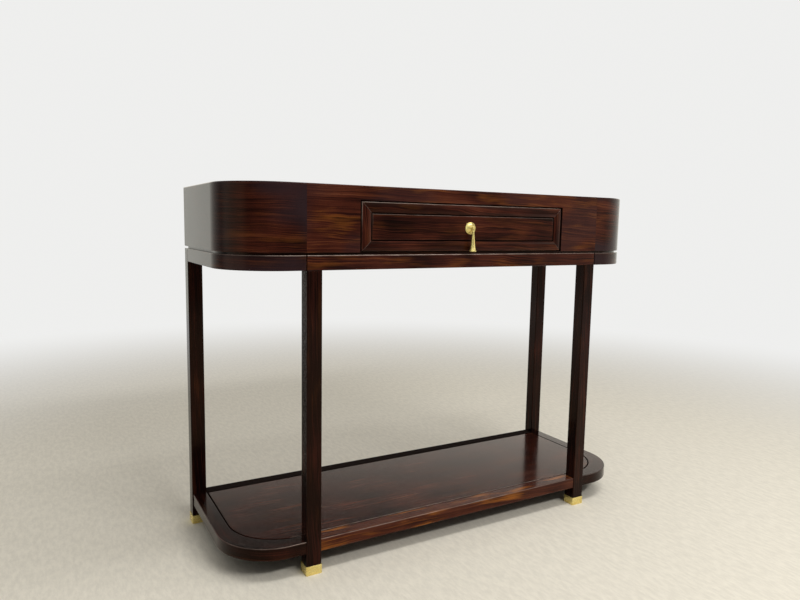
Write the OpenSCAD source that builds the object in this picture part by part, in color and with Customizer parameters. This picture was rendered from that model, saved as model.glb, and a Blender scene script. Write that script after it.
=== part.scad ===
// Console table with one drawer, four legs and a low shelf.
// The plan is a D: square corners at the back and large round corners at the front.
// Millimetres. Z is up, the front faces -Y, and the origin is at the bottom centre of the whole table.

/* [Overall] */
// Width of the case, without the foot caps
body_w = 1155; // [1060:5:1400]
// Depth of the case, without the pull and the foot caps
body_d = 400; // [380:5:480]
// Height of the top above the floor
body_h = 852.5; // [780:0.5:950]
// Radius of the two front corners in plan
corner_r = 130; // [100:1:150]
// Distance from the front seams, at the front legs' outer faces, to where the round corners begin
seam_setback = 35.5; // [5:0.5:60]

/* [Case] */
// Height of the case that holds the drawer
case_h = 143.5; // [138:0.5:170]
// Thickness of the case's boards
board_t = 22; // [20:0.5:26]
// Height of the rail over the drawer
top_rail_h = 31; // [28:0.5:34]
// Width of the drawer opening
opening_w = 579; // [500:1:620]
// Thickness of the case's bottom board
floor_t = 9; // [7:0.5:11]
// Thickness of the top panel
top_t = 14; // [11:0.5:15]
// Width of the battens under the top
top_batten_w = 40; // [25:1:60]
// Height of the battens' undersides above the lower edge of the rail over the drawer
top_batten_lift = 1; // [0.5:0.5:6]
// Distance of the outer battens under the top from the middle
top_batten_x = 190; // [120:1:220]
// Radius of the case's top arris
top_arris_r = 3; // [1:0.5:5]
// Radius of the small arrises: case bottom, apron, shelf and seams
small_arris_r = 1.5; // [0.5:0.1:2]
// Radius of the top and shelf panels' upper arrises
panel_arris_r = 1; // [0.5:0.1:1.5]
// Width of the dark groove round the top and shelf panels
groove_w = 3.5; // [2:0.5:5]
// Length of a panel's tongue inside the groove that holds it
tongue_l = 5; // [3:0.5:7]
// Thickness of a panel's tongue
tongue_t = 5; // [3:0.5:6]
// Play over a tongue and past its end
tongue_gap = 0.2; // [0.1:0.05:0.5]

/* [Waist and apron] */
// Height of the recessed waist between the case and the apron
waist_h = 5; // [4:0.5:10]
// Distance of the waist behind the front and side faces
waist_inset = 8; // [6:0.5:12]
// Distance of the waist behind the back face
waist_back_inset = 2; // [0:0.5:6]
// Thickness of the waist strips
waist_t = 20; // [18:1:24]
// Height of the apron rails
apron_h = 32; // [26:1:50]
// Thickness of the apron rails
apron_t = 28; // [24:1:32]
// Width of the kerf at the apron's front seams
seam_kerf = 2; // [0.6:0.1:2.5]
// Depth of the kerf at the apron's front seams
seam_depth = 4; // [3:0.5:6]

/* [Legs] */
// Width of a leg along X
leg_w = 35; // [33:0.5:45]
// Depth of a leg along Y
leg_d = 32; // [30:0.5:40]
// Radius of a leg's long arrises
leg_arris_r = 2; // [0.5:0.5:4]
// Radius of a front leg's upper arrises, where it meets the apron
joint_arris_r = 1; // [0.5:0.1:1.5]
// Height of the brass foot caps
cap_h = 21; // [15:1:35]
// Wall of a foot cap
cap_t = 1.2; // [0.8:0.1:2.5]
// Thickness of a foot cap's floor
cap_floor_t = 2; // [1.5:0.1:3]
// Play between a leg and its foot cap
cap_gap = 0.1; // [0.05:0.05:0.3]
// Width of a front leg's top tenon
tenon_w = 20; // [12:1:24]
// Thickness of a front leg's top tenon
tenon_t = 10; // [8:1:14]
// Length of a front leg's top tenon
tenon_l = 20; // [12:1:22]
// Radius of the screws that hold the foot caps
screw_r = 1.75; // [1.25:0.25:2.25]
// Radius of their countersunk heads
screw_head_r = 3.5; // [2.75:0.25:3.5]
// Length of those screws
screw_l = 20; // [12:1:30]
// Play round those screws
screw_gap = 0.1; // [0.05:0.05:0.2]

/* [Shelf] */
// Height of the shelf's underside above the floor
shelf_z = 50; // [40:1:120]
// Height of the shelf's rails
shelf_h = 28; // [24:1:36]
// Distance of the shelf's end rails behind the legs' outer faces
shelf_inset = 2; // [1:0.5:9]
// Distance of the shelf's front and back rails behind the legs' faces
shelf_front_inset = 1.5; // [0.5:0.5:4]
// Radius of the frame's inner corners, which the shelf panel follows
shelf_corner_r = 123; // [95:1:130]
// Thickness of the shelf panel
shelf_panel_t = 12; // [10:0.5:14]
// Depth of the housing that a front leg has for the shelf's front rail
housing_d = 12; // [8:0.5:16]
// Play in that housing
housing_gap = 0.1; // [0.05:0.05:0.3]
// Width of the battens under the shelf
shelf_batten_w = 30; // [20:1:50]
// Height of their undersides above those of the shelf's rails
shelf_batten_lift = 4; // [2:0.5:8]
// Distance of the shelf's outer battens from the middle
shelf_batten_x = 260; // [180:1:360]

/* [Drawer] */
// Gap at each side of the drawer front
front_side_gap = 4; // [2:0.5:5]
// Gap over the drawer front
front_top_gap = 3; // [2:0.5:5]
// Distance of the drawer front's lower edge above the case's
front_lift = 2.5; // [1:0.5:5]
// Thickness of the drawer front's frame
member_t = 20; // [18:0.5:20]
// Width of the four members of that frame
member_w = 23; // [21:0.5:28]
// Rise of the crown across a member's face
member_crown = 1.5; // [1:0.1:3]
// Radius of the drawer front's outer arris
member_arris_r = 2.5; // [1:0.5:3]
// Width of the dark groove round the drawer front's panel
panel_groove_w = 2.5; // [1.5:0.5:4]
// Depth of the panel's face behind the frame's crown
panel_recess = 1.2; // [0.6:0.1:2]
// Thickness of the drawer front's panel
panel_t = 12; // [11.5:0.5:13]
// Radius of that panel's front arrises
field_arris_r = 0.8; // [0.4:0.1:1]
// Thickness of the drawer's sides and back
side_t = 12; // [10:0.5:14]
// Height of the drawer's sides
side_h = 86; // [70:1:88]
// Depth of the housings in the stiles that take the sides
side_housing_d = 8; // [4:0.5:8]
// Distance from the sides to the outer edges of the drawer front
side_setback = 2.5; // [2:0.5:5]
// Thickness of the drawer's bottom
bottom_t = 4; // [3:0.5:6]
// Height of the drawer's bottom above the lower edges of its sides
bottom_lift = 5; // [4:0.5:10]
// Depth of the grooves that hold the drawer's bottom
bottom_groove_d = 4; // [2:0.5:6]
// Play beside the drawer
slide_gap = 1.5; // [0.5:0.1:2]
// Play between the drawer and what carries or stops it
rest_gap = 0.3; // [0.2:0.05:0.5]
// Height of the runners under the drawer
runner_h = 6; // [4:0.5:8]
// Width of the runners
runner_w = 26; // [16:1:40]
// Thickness of the guides beside the drawer
guide_t = 20; // [16:1:30]
// Height of the guides
guide_h = 50; // [30:1:70]
// Travel of the drawer
drawer_travel = 240; // [150:5:250]
// Width of the catch over the drawer
catch_w = 30; // [20:1:50]
// Length of the catch along Y
catch_l = 14; // [8:1:20]
// Reach of the catch below the top edge of the drawer's back
catch_drop = 6; // [4:0.5:8]
// Width of the two blocks that stop the closed drawer
stop_w = 30; // [20:1:50]
// Height of those blocks
stop_h = 40; // [20:1:60]
// Thickness of those blocks
stop_t = 14; // [8:1:40]

/* [Pull] */
// Radius of the rosette's rim
rosette_r = 14.5; // [12:0.5:18]
// Thickness of the rosette's rim
rosette_rim_t = 1.6; // [1:0.1:2.5]
// Height of the rosette
rosette_h = 9; // [7:0.5:10]
// Radius of the rosette's dome where it meets the rim
dome_base_r = 13; // [9:0.5:13]
// Radius of the rosette's flat nose
nose_r = 3.4; // [3:0.1:4]
// Radius of the collar between the rosette and the post's eye
collar_r = 3; // [2.8:0.1:3]
// Thickness of that collar
collar_h = 0.7; // [0.4:0.1:0.7]
// Radius of the post's shank
post_r = 2; // [1.5:0.1:2.4]
// Length of the post past its nut
post_tail = 1.5; // [0.5:0.5:4]
// Play round the post's shank
post_gap = 0.1; // [0.05:0.05:0.3]
// Distance of the pull's pivot in front of the drawer's panel
pivot_reach = 13; // [12.8:0.1:14]
// Thickness of the post's eye
eye_t = 2.4; // [2:0.1:3]
// Radius of the post's eye
eye_r = 2.6; // [2.2:0.1:2.7]
// Radius of the hinge pin
pin_r = 0.9; // [0.7:0.05:1.1]
// Play of the hinge pin in the post's eye
pin_gap = 0.06; // [0.03:0.01:0.09]
// Distance of the pin's ends inside the pendant's sides
pin_inset = 0.1; // [0:0.05:0.3]
// Play of the pin in the pendant's ears and of the post in its nut
press_gap = 0.02; // [0.01:0.01:0.04]
// Play between the eye and the pendant's ears at each side
ear_gap = 0.2; // [0.1:0.05:0.3]
// Thickness of the pendant's ears
ear_t = 1.5; // [1.2:0.1:2]
// Radius of the pendant's ears
ear_r = 3; // [2.8:0.1:3.2]
// Distance from the pivot to the pendant's lower end
pendant_l = 55; // [40:1:56]
// Distance from the pivot to the middle of the bead below the ears
bead_drop = 6.5; // [6:0.1:8]
// Depth of the slot between the ears below the post's eye
slot_drop = 0.7; // [0.4:0.1:0.9]
// Radius of the pendant's neck
neck_r = 2.2; // [1.8:0.1:2.8]
// Length of the neck below the middle of the bead
neck_l = 3; // [2.7:0.1:6]
// Radius to which the cone below the neck widens
cone_r = 6.1; // [4:0.1:7]
// Radius of the pendant's lip
lip_r = 8.5; // [7:0.1:9]
// Height of the pendant's lip
lip_h = 2; // [1.5:0.1:3]
// Radius to which the lip is eased below
lip_arris = 0.7; // [0.3:0.1:1]

/* [Hidden] */
$fn = 64;
ARC_FN = 128;
EPS = 0.01;
FILL_EXCESS = 1;
wood = "#3b1d17";
inner_wood = "#6b4630";
brass = "#c8a24c";
steel = "#8e8f92";

// Reach of the pull and of the caps past the body, which centre the whole table on the origin
pull_reach = pivot_reach - panel_recess + lip_r;
cap_reach = cap_t + cap_gap;
front_y = -(body_d + cap_reach - pull_reach) / 2;
back_y = front_y + body_d;
half_w = body_w / 2;
arc_x = half_w - corner_r;
seam_x = arc_x - seam_setback;

// Heights
case_z = body_h - case_h;
apron_top = case_z - waist_h;
apron_z = apron_top - apron_h;
rail_z = body_h - top_rail_h;
floor_top = case_z + floor_t;
shelf_top = shelf_z + shelf_h;
top_panel_z = body_h - top_t;
shelf_panel_z = shelf_top - shelf_panel_t;
top_batten_h = top_panel_z - rail_z - top_batten_lift;
shelf_batten_h = shelf_panel_z - shelf_z - shelf_batten_lift;

// Shelf frame: its inner edge is an inset of a D with this corner. The end rails are made wider by the
// fill, with an excess that the opening cuts away.
shelf_corner = shelf_corner_r + leg_w;
corner_fill = max(0, (shelf_corner - corner_r) * (sqrt(2) - 1)) + FILL_EXCESS;

// Drawer front and box
front_w = opening_w - 2 * front_side_gap;
front_z = case_z + front_lift;
front_h = rail_z - front_top_gap - front_z;
front_mid_z = front_z + front_h / 2;
crown_r = (pow(member_w / 2, 2) + pow(member_crown, 2)) / (2 * member_crown);
tongue_y = panel_recess + panel_t - tongue_t;
box_half = front_w / 2 - side_setback;
side_z = floor_top + runner_h + rest_gap;
side_top = side_z + side_h;
box_y = front_y + member_t;
box_end = back_y - board_t - stop_t - rest_gap;
bottom_z = side_z + bottom_lift;
guide_x = box_half + slide_gap;
catch_y = box_end - side_t - drawer_travel - rest_gap - catch_l;

// Pull, whose post takes an M4 nut and washer
panel_face_y = front_y + panel_recess;
pivot_y = panel_face_y - pivot_reach;
dome_h = rosette_h - rosette_rim_t;
dome_r = (pow(dome_base_r, 2) + pow(dome_h, 2)) / (2 * dome_h);
nut_af = 7;
nut_h = 3.2;
washer_r = 4.5;
washer_t = 0.8;
slot_w = eye_t + 2 * ear_gap;
fork_r = slot_w / 2 + ear_t;
slot_floor = eye_r + slot_drop;

// Sections are drawn with x = 0 at the body's outer face and minus x inwards, and y is the height.

// Board section with its two outer arrises eased
module eased_section(t, h, top_r, low_r) {
    translate([-t, 0]) square([t - max(top_r, low_r), h]);
    translate([-t, low_r]) square([t, h - top_r - low_r]);
    if (top_r > 0) translate([-top_r, h - top_r]) circle(r = top_r);
    if (low_r > 0) translate([-low_r, low_r]) circle(r = low_r);
}

// Straight run of a section along the front, from x0 to x1
module front_run(x0, x1) {
    translate([x0, front_y, 0]) rotate([90, 0, 90]) linear_extrude(x1 - x0) mirror([1, 0]) children();
}

// The same along the back
module back_run(x0, x1) {
    translate([x0, back_y, 0]) rotate([90, 0, 90]) linear_extrude(x1 - x0) children();
}

// Run of a section from start_x round a front corner of radius corner and along the side to end_y
module corner_run(start_x, end_y, corner) {
    front_run(start_x, half_w - corner) children();
    translate([half_w - corner, front_y + corner, 0]) rotate([0, 0, -90])
        rotate_extrude(angle = 90, $fn = ARC_FN) translate([corner, 0]) children();
    translate([half_w, end_y, 0]) rotate([90, 0, 0]) linear_extrude(end_y - front_y - corner) children();
}

// Left twin of a right-hand piece
module left() {
    mirror([1, 0, 0]) children();
}

// A D of the plan's size with its own front corners, drawn in by inset on every side
module plan_outline(inset, corner) {
    half = half_w - inset;
    r = corner - inset;
    x = half_w - corner;
    y = front_y + corner;
    translate([-half, y]) square([2 * half, back_y - inset - y]);
    translate([-x, front_y + inset]) square([2 * x, r + EPS]);
    for (side = [-1, 1]) translate([side * x, y]) circle(r = r, $fn = ARC_FN);
}

// What easing takes off an upper arris, with the corner at the section's origin
module arris_waste(r) {
    difference() {
        translate([-r, -r]) square([2 * r, 2 * r]);
        translate([-r, -r]) circle(r = r);
    }
}

// Easing round the top of a D-shaped panel
module ease_panel(inset, corner, z, r) {
    for (side = [0, 1]) mirror([side, 0, 0])
        corner_run(-EPS, back_y, corner) translate([-inset, z]) arris_waste(r);
    back_run(-half_w, half_w) translate([-inset, z]) arris_waste(r);
}

// Tongue of a D-shaped panel, or with play the space that its frame has for it
module panel_tongue(inner, corner, z, gap) {
    translate([0, 0, z]) linear_extrude(tongue_t + gap) plan_outline(inner - tongue_l - gap, corner);
}

// Panel with a tongue all round below its eased face
module tongued_panel(inner, corner, z, t) {
    difference() {
        union() {
            translate([0, 0, z]) linear_extrude(t) plan_outline(inner + groove_w, corner);
            panel_tongue(inner, corner, z, 0);
        }
        ease_panel(inner + groove_w, corner, z + t, panel_arris_r);
    }
}

// Rectangle with round corners, from its lower left corner
module round_rect(w, d, r) {
    translate([r, 0]) square([w - 2 * r, d]);
    translate([0, r]) square([w, d - 2 * r]);
    for (x = [r, w - r], y = [r, d - r]) translate([x, y]) circle(r = r);
}

// Case: a ring of boards that holds the top panel
module case_section() {
    translate([0, case_z]) eased_section(board_t, case_h, top_arris_r, small_arris_r);
}

module case_right_board() {
    color(wood) difference() {
        corner_run(seam_x, back_y, corner_r) case_section();
        panel_tongue(board_t, corner_r, top_panel_z, tongue_gap);
    }
}

module case_left_board() {
    left() case_right_board();
}

module case_front_rail() {
    color(wood) difference() {
        front_run(-seam_x, seam_x)
            translate([0, rail_z]) eased_section(board_t, top_rail_h, top_arris_r, 0);
        panel_tongue(board_t, corner_r, top_panel_z, tongue_gap);
    }
}

module case_right_panel() {
    color(wood) front_run(opening_w / 2, seam_x)
        translate([0, case_z]) eased_section(board_t, rail_z - case_z, 0, small_arris_r);
}

module case_left_panel() {
    left() case_right_panel();
}

module case_back_board() {
    color(wood) difference() {
        back_run(-half_w + board_t, half_w - board_t) case_section();
        panel_tongue(board_t, corner_r, top_panel_z, tongue_gap);
    }
}

module case_bottom_board() {
    color(inner_wood) translate([0, 0, case_z]) linear_extrude(floor_t) plan_outline(board_t, corner_r);
}

module top_panel() {
    color(wood) tongued_panel(board_t, corner_r, top_panel_z, top_t);
}

// Batten under the top, from the front rail to the back board
module top_batten(x) {
    color(inner_wood) translate([x - top_batten_w / 2, front_y + board_t, top_panel_z - top_batten_h])
        cube([top_batten_w, body_d - 2 * board_t, top_batten_h]);
}

module top_batten_left() { top_batten(-top_batten_x); }
module top_batten_centre() { top_batten(0); }
module top_batten_right() { top_batten(top_batten_x); }

// What carries, guides and stops the drawer
module drawer_guide_right() {
    color(inner_wood) translate([guide_x, front_y + board_t, floor_top])
        cube([guide_t, body_d - 2 * board_t, guide_h]);
}

module drawer_guide_left() {
    left() drawer_guide_right();
}

module drawer_runner_right() {
    color(inner_wood) translate([guide_x - runner_w, front_y + board_t, floor_top])
        cube([runner_w, body_d - 2 * board_t, runner_h]);
}

module drawer_runner_left() {
    left() drawer_runner_right();
}

module drawer_back_stops() {
    color(inner_wood) for (side = [-1, 1])
        translate([side * (box_half - side_t - stop_w) - stop_w / 2, box_end + rest_gap, side_z + stop_h / 2])
            cube([stop_w, stop_t, stop_h]);
}

module drawer_catch() {
    z = side_top - catch_drop;
    color(inner_wood) translate([-catch_w / 2, catch_y, z])
        cube([catch_w, catch_l, top_panel_z - top_batten_h - z]);
}

// Waist: strips between the apron and the case, set back from both
module waist_section() {
    translate([-waist_inset - waist_t, apron_top]) square([waist_t, waist_h]);
}

module waist_front_strip() {
    color(wood) front_run(-seam_x, seam_x) waist_section();
}

module waist_right_strip() {
    color(wood) corner_run(seam_x, back_y - waist_back_inset, corner_r) waist_section();
}

module waist_left_strip() {
    left() waist_right_strip();
}

module waist_back_strip() {
    inner = half_w - waist_inset - waist_t;
    color(wood) translate([0, waist_inset - waist_back_inset, 0]) back_run(-inner, inner) waist_section();
}

// Apron: a ring of rails, the front one between two open seams
module apron_section() {
    translate([0, apron_z]) eased_section(apron_t, apron_h, small_arris_r, small_arris_r);
}

// Seam at the right end of the front rail: a narrow kerf between two eased arrises
module seam_waste() {
    translate([seam_x - seam_kerf / 2, front_y - EPS, apron_z - EPS])
        cube([seam_kerf, seam_depth, apron_h + 2 * EPS]);
    translate([0, 0, apron_z - EPS]) linear_extrude(apron_h + 2 * EPS) for (side = [-1, 1])
        translate([seam_x, front_y]) mirror([side > 0 ? 1 : 0, 0])
            translate([-seam_kerf / 2, 0]) mirror([0, 1]) arris_waste(small_arris_r);
}

module apron_front_rail() {
    color(wood) difference() {
        front_run(-seam_x, seam_x) apron_section();
        seam_waste();
        left() seam_waste();
        for (side = [-1, 1]) leg_tenon(side, tongue_gap);
    }
}

module apron_right_rail() {
    color(wood) difference() {
        corner_run(seam_x, back_y - leg_d, corner_r) apron_section();
        seam_waste();
    }
}

module apron_left_rail() {
    left() apron_right_rail();
}

module apron_back_rail() {
    color(wood) back_run(-half_w + leg_w, half_w - leg_w) apron_section();
}

// Legs: the front ones stop under the apron, and the back ones run up to its top
module leg_tenon(side, gap) {
    x = side * (seam_x - leg_w / 2);
    translate([x - tenon_w / 2, front_y + (leg_d - tenon_t) / 2, apron_z - EPS])
        cube([tenon_w, tenon_t, tenon_l + gap + EPS]);
}

// A front leg's side, seen square on, with both upper arrises eased
module leg_side(w, h) {
    r = joint_arris_r;
    square([w, h - r]);
    translate([r, 0]) square([w - 2 * r, h]);
    for (x = [r, w - r]) translate([x, h - r]) circle(r = r);
}

module front_leg_body() {
    h = apron_z - cap_floor_t;
    intersection() {
        linear_extrude(h) round_rect(leg_w, leg_d, leg_arris_r);
        translate([0, leg_d, 0]) rotate([90, 0, 0]) linear_extrude(leg_d) leg_side(leg_w, h);
        rotate([90, 0, 90]) linear_extrude(leg_w) leg_side(leg_d, h);
    }
}

module front_right_leg() {
    color(wood) difference() {
        union() {
            translate([seam_x - leg_w, front_y, cap_floor_t]) front_leg_body();
            leg_tenon(1, 0);
        }
        translate([seam_x - leg_w - EPS, front_y + leg_d - housing_d, shelf_z - housing_gap])
            cube([leg_w + 2 * EPS, housing_d + EPS, shelf_h + 2 * housing_gap]);
        screw_hole(seam_x - leg_w / 2, front_y + leg_d / 2);
    }
}

module front_left_leg() {
    left() front_right_leg();
}

module back_right_leg() {
    color(wood) difference() {
        translate([half_w - leg_w, back_y - leg_d, cap_floor_t])
            linear_extrude(apron_top - cap_floor_t) round_rect(leg_w, leg_d, leg_arris_r);
        panel_tongue(leg_w, shelf_corner, shelf_panel_z, tongue_gap);
        screw_hole(half_w - leg_w / 2, back_y - leg_d / 2);
    }
}

module back_left_leg() {
    left() back_right_leg();
}

// Brass caps over the feet, each held by a countersunk screw through its floor
module screw_hole(x, y) {
    translate([x, y, -EPS]) cylinder(r = screw_r + screw_gap, h = screw_l + 1);
}

module foot_screw(x, y) {
    head_h = screw_head_r - screw_r;
    translate([x, y, screw_gap]) {
        cylinder(r1 = screw_head_r, r2 = screw_r, h = head_h);
        translate([0, 0, head_h - EPS]) cylinder(r = screw_r, h = screw_l - head_h);
    }
}

module foot_cap(x, y) {
    gap = cap_gap;
    out = cap_t + cap_gap;
    color(brass) difference() {
        translate([x - leg_w / 2 - out, y - leg_d / 2 - out, 0])
            linear_extrude(cap_h) round_rect(leg_w + 2 * out, leg_d + 2 * out, leg_arris_r / 2 + out);
        translate([x - leg_w / 2 - gap, y - leg_d / 2 - gap, cap_floor_t])
            linear_extrude(cap_h) round_rect(leg_w + 2 * gap, leg_d + 2 * gap, leg_arris_r / 2 + gap);
        translate([x, y, 0]) cylinder(r1 = screw_head_r + screw_gap, r2 = screw_r + screw_gap,
                                      h = screw_head_r - screw_r);
        screw_hole(x, y);
    }
}

module front_right_foot_cap() { foot_cap(seam_x - leg_w / 2, front_y + leg_d / 2); }
module front_left_foot_cap() { foot_cap(-seam_x + leg_w / 2, front_y + leg_d / 2); }
module back_right_foot_cap() { foot_cap(half_w - leg_w / 2, back_y - leg_d / 2); }
module back_left_foot_cap() { foot_cap(-half_w + leg_w / 2, back_y - leg_d / 2); }

module foot_cap_screws() {
    color(steel) for (side = [-1, 1]) {
        foot_screw(side * (seam_x - leg_w / 2), front_y + leg_d / 2);
        foot_screw(side * (half_w - leg_w / 2), back_y - leg_d / 2);
    }
}

// Shelf: a ring of rails with a panel let in flush, and battens below it
module shelf_section(inset, w) {
    translate([-inset, shelf_z]) eased_section(w - inset, shelf_h, small_arris_r, small_arris_r);
}

// The front rail is notched for the legs, and its ends lie in the legs' housings
module shelf_front_rail() {
    notch = leg_d - housing_d + housing_gap;
    color(wood) difference() {
        front_run(-seam_x, seam_x) shelf_section(shelf_front_inset, leg_w);
        for (side = [-1, 1])
            translate([side * (seam_x - leg_w / 2) - leg_w / 2 - EPS, front_y - EPS, shelf_z - EPS])
                cube([leg_w + 2 * EPS, notch + EPS, shelf_h + 2 * EPS]);
        panel_tongue(leg_w, shelf_corner, shelf_panel_z, tongue_gap);
    }
}

module shelf_back_rail() {
    color(wood) difference() {
        back_run(-half_w + leg_w, half_w - leg_w) shelf_section(shelf_front_inset, leg_w);
        panel_tongue(leg_w, shelf_corner, shelf_panel_z, tongue_gap);
    }
}

// Opening between the end rails, which has the panel's corners in front and runs through at the back
module shelf_opening() {
    translate([0, 0, shelf_z - EPS]) linear_extrude(shelf_h + 2 * EPS) {
        plan_outline(leg_w, shelf_corner);
        translate([leg_w - half_w, 0]) square([2 * (half_w - leg_w), back_y]);
    }
}

// The end rails are wider in the front corners, where the opening leaves the fill
module shelf_right_rail() {
    color(wood) difference() {
        corner_run(seam_x, back_y - leg_d, corner_r) shelf_section(shelf_inset, leg_w + corner_fill);
        shelf_opening();
        panel_tongue(leg_w, shelf_corner, shelf_panel_z, tongue_gap);
    }
}

module shelf_left_rail() {
    left() shelf_right_rail();
}

module shelf_panel() {
    color(wood) tongued_panel(leg_w, shelf_corner, shelf_panel_z, shelf_panel_t);
}

module shelf_batten(x) {
    color(wood) translate([x - shelf_batten_w / 2, front_y + leg_w, shelf_panel_z - shelf_batten_h])
        cube([shelf_batten_w, body_d - 2 * leg_w, shelf_batten_h]);
}

module shelf_batten_left() { shelf_batten(-shelf_batten_x); }
module shelf_batten_centre() { shelf_batten(0); }
module shelf_batten_right() { shelf_batten(shelf_batten_x); }

// Drawer front: four mitred members with crowned faces, and a panel held in their grooves.
// A member's section has its front at x = 0, its outer edge at y = 0 and its inner edge at y = -member_w.
function crown_depth(u) = crown_r - sqrt(pow(crown_r, 2) - pow(member_w / 2 - u, 2));

module member_section() {
    edge = crown_depth(member_arris_r);
    difference() {
        intersection() {
            translate([0, -member_w]) square([member_t, member_w]);
            union() {
                translate([crown_r, -member_w / 2]) circle(r = crown_r, $fn = ARC_FN);
                translate([member_crown, -member_w]) square([member_t, member_w]);
            }
        }
        translate([tongue_y, -member_w - EPS])
            square([tongue_t + tongue_gap, tongue_l + tongue_gap + EPS]);
        difference() {
            translate([-EPS, -member_arris_r]) square([edge + member_arris_r, member_arris_r + EPS]);
            translate([edge + member_arris_r, -member_arris_r]) circle(r = member_arris_r);
        }
    }
}

// One member lying along X with its outer edge up, mitred at both ends
module frame_member(l) {
    intersection() {
        translate([-l / 2, 0, 0]) rotate([90, 0, 90]) linear_extrude(l) member_section();
        translate([0, member_t + EPS, 0]) rotate([90, 0, 0]) linear_extrude(member_t + 2 * EPS)
            polygon([[-l / 2, 0], [l / 2, 0], [l / 2 - member_w, -member_w], [-l / 2 + member_w, -member_w]]);
    }
}

// Housing in the back of a stile for a drawer side
module side_housing() {
    translate([box_half - side_t, box_y - side_housing_d, side_z])
        cube([side_t, side_housing_d + EPS, side_h]);
}

module drawer_top_rail() {
    color(wood) difference() {
        translate([0, front_y, front_z + front_h]) frame_member(front_w);
        for (side = [0, 1]) mirror([side, 0, 0]) side_housing();
    }
}

module drawer_bottom_rail() {
    color(wood) difference() {
        translate([0, front_y, front_z]) rotate([0, 180, 0]) frame_member(front_w);
        for (side = [0, 1]) mirror([side, 0, 0]) side_housing();
    }
}

module drawer_right_stile() {
    color(wood) difference() {
        translate([front_w / 2, front_y, front_mid_z]) rotate([0, 90, 0]) frame_member(front_h);
        side_housing();
    }
}

module drawer_left_stile() {
    left() drawer_right_stile();
}

module drawer_front_panel() {
    field_w = front_w - 2 * (member_w + panel_groove_w);
    field_h = front_h - 2 * (member_w + panel_groove_w);
    grow = panel_groove_w + tongue_l;
    color(wood) difference() {
        union() {
            translate([-field_w / 2, panel_face_y, front_mid_z - field_h / 2]) intersection() {
                rotate([90, 0, 90]) linear_extrude(field_w) panel_profile(field_h);
                translate([0, 0, field_h]) rotate([0, 90, 0]) rotate([90, 0, 90])
                    linear_extrude(field_h) panel_profile(field_w);
            }
            translate([-field_w / 2 - grow, front_y + tongue_y, front_mid_z - field_h / 2 - grow])
                cube([field_w + 2 * grow, tongue_t, field_h + 2 * grow]);
        }
        translate([0, panel_face_y - 1, front_mid_z]) rotate([-90, 0, 0])
            cylinder(r = post_r + post_gap, h = panel_t + 2);
    }
}

// Profile of the drawer front's panel, with both front arrises eased
module panel_profile(l) {
    r = field_arris_r;
    translate([r, 0]) square([panel_t - r, l]);
    translate([0, r]) square([panel_t, l - 2 * r]);
    for (y = [r, l - r]) translate([r, y]) circle(r = r);
}

// Drawer box
module drawer_right_side() {
    color(inner_wood) difference() {
        translate([box_half - side_t, box_y - side_housing_d, side_z])
            cube([side_t, box_end - box_y + side_housing_d, side_h]);
        drawer_bottom_space(tongue_gap);
    }
}

module drawer_left_side() {
    left() drawer_right_side();
}

module drawer_back() {
    z = bottom_z + bottom_t;
    color(inner_wood) translate([-box_half + side_t, box_end - side_t, z])
        cube([2 * (box_half - side_t), side_t, side_top - z]);
}

// The bottom with the given play over it
module drawer_bottom_space(gap) {
    half = box_half - side_t + bottom_groove_d;
    translate([-half - gap / 2, box_y, bottom_z]) cube([2 * half + gap, box_end - box_y + gap, bottom_t]);
}

module drawer_bottom() {
    color(inner_wood) drawer_bottom_space(0);
}

// Pull: things that turn about the pull's axis are drawn with x as radius and y as reach from the panel
module on_panel() {
    translate([0, panel_face_y, front_mid_z]) rotate([90, 0, 0]) children();
}

// Rosette: a round rim, a dome over it and a flat nose that the post's collar bears on
module pull_rosette() {
    rim = rosette_rim_t / 2;
    color(brass) on_panel() difference() {
        rotate_extrude() {
            square([rosette_r - rim, rosette_rim_t]);
            translate([rosette_r - rim, rim]) circle(r = rim);
            square([nose_r, rosette_h]);
            translate([0, rosette_rim_t]) intersection() {
                square([dome_base_r, dome_h]);
                translate([0, dome_h - dome_r]) circle(r = dome_r, $fn = ARC_FN);
            }
        }
        translate([0, 0, -1]) cylinder(r = post_r + post_gap, h = rosette_h + 2);
    }
}

// Post: a shank through the rosette and the panel, a collar, and an eye for the hinge pin
module pull_post() {
    tail = panel_t + washer_t + nut_h + post_tail;
    color(brass) difference() {
        union() {
            on_panel() translate([0, 0, -tail]) cylinder(r = post_r, h = tail + rosette_h + EPS);
            on_panel() translate([0, 0, rosette_h]) cylinder(r = collar_r, h = collar_h);
            translate([-eye_t / 2, pivot_y, front_mid_z - eye_r])
                cube([eye_t, pivot_reach - rosette_h - collar_h + EPS, 2 * eye_r]);
            along_pin(-eye_t / 2) cylinder(r = eye_r, h = eye_t);
        }
        along_pin(-eye_t) cylinder(r = pin_r + pin_gap, h = 2 * eye_t);
    }
}

module pull_washer() {
    color(steel) on_panel() translate([0, 0, -panel_t - washer_t]) difference() {
        cylinder(r = washer_r, h = washer_t);
        translate([0, 0, -1]) cylinder(r = post_r + post_gap, h = washer_t + 2);
    }
}

module pull_nut() {
    color(steel) on_panel() translate([0, 0, -panel_t - washer_t - nut_h]) difference() {
        cylinder(r = nut_af / 2 / cos(30), h = nut_h, $fn = 6);
        translate([0, 0, -1]) cylinder(r = post_r + press_gap, h = nut_h + 2);
    }
}

// Things along the pin, which lies along X at the pull's pivot, from x = start
module along_pin(start) {
    translate([start, pivot_y, front_mid_z]) rotate([0, 90, 0]) children();
}

module pull_hinge_pin() {
    half = fork_r - pin_inset;
    color(brass) along_pin(-half) cylinder(r = pin_r, h = 2 * half);
}

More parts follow.
